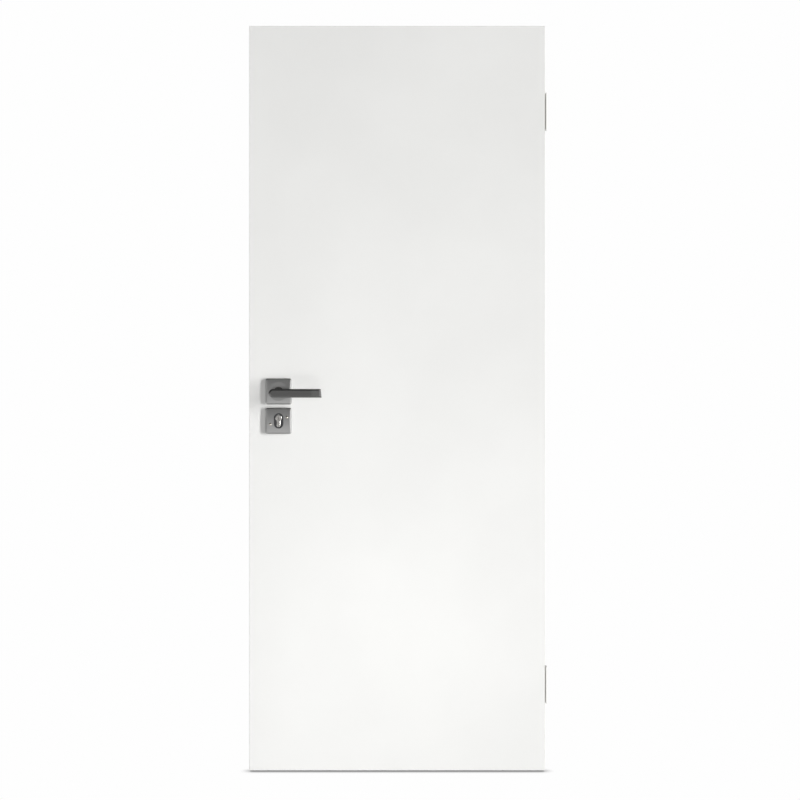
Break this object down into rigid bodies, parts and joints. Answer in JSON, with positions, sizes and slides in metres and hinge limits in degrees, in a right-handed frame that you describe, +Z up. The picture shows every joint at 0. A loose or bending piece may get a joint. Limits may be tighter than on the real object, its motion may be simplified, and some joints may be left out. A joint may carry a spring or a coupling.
{
  "type": "flush door",
  "caption": "Smooth flush door leaf on butt hinges, with a mortise lock, a flat bar lever on square roses and a key cylinder in a square escutcheon.",
  "frame": {"origin": "on the bearing face of the bottom hinge's frame plate, halfway up that hinge and halfway through the closed leaf", "axes": "+Z up, +X across the door from its lock edge towards the frame's hinge side, +Y through the leaf towards the side that it opens to"},
  "size_m": [0.814, 0.164, 2.03],
  "materials": {
    "door_lacquer": "white satin lacquer on hardboard",
    "edge_band": "white edge banding, finely textured",
    "stile_wood": "planed softwood",
    "core_board": "chipboard core",
    "lock_steel": "zinc-plated steel",
    "faceplate_steel": "brushed stainless steel",
    "latch_nylon": "dark moulded nylon",
    "bolt_nickel": "nickel-plated brass",
    "cylinder_nickel": "bright nickel plate",
    "plug_nickel": "bright nickel plate",
    "rose_nickel": "satin nickel plate",
    "lever_nickel": "satin nickel plate, darker",
    "hinge_paint": "white powder coat"
  },
  "bodies": {
    "frame_hinges": {"hinge_frame_leaves": "hinge_paint"},
    "leaf": {"front_skin": "door_lacquer", "back_skin": "door_lacquer", "lock_stile": "stile_wood", "hinge_stile": "stile_wood", "top_rail": "stile_wood", "bottom_rail": "stile_wood", "core_panel": "core_board", "lock_block": "stile_wood", "lock_edge_band": "edge_band", "hinge_edge_band": "edge_band", "top_edge_band": "edge_band", "lock_case": "lock_steel", "lock_faceplate": "faceplate_steel", "latch_bolt": "latch_nylon", "dead_bolt": "bolt_nickel", "cylinder_body": "cylinder_nickel", "cylinder_plug_front": "plug_nickel", "cylinder_plug_back": "plug_nickel", "cylinder_cam": "lock_steel", "rose_front": "rose_nickel", "rose_back": "rose_nickel", "escutcheon_front": "rose_nickel", "escutcheon_back": "rose_nickel", "hinge_door_leaves": "hinge_paint"},
    "handle": {"lever_front": "lever_nickel", "lever_back": "lever_nickel", "spindle": "lock_steel", "lock_follower": "lock_steel"}
  },
  "joints": [
    {"name": "door_swing", "type": "hinge", "parent": "frame_hinges", "child": "leaf", "pos_m": [-0.0045, 0.027, 0], "axis": [0, 0, -1], "range_deg": [0, 170]},
    {"name": "handle_turn", "type": "hinge", "parent": "leaf", "child": "handle", "pos_m": [-0.732, 0, 0.803], "axis": [0, 1, 0], "range_deg": [0, 40], "stiffness_Nm_per_rad": 1.2, "springref_deg": -45.84}
  ]
}
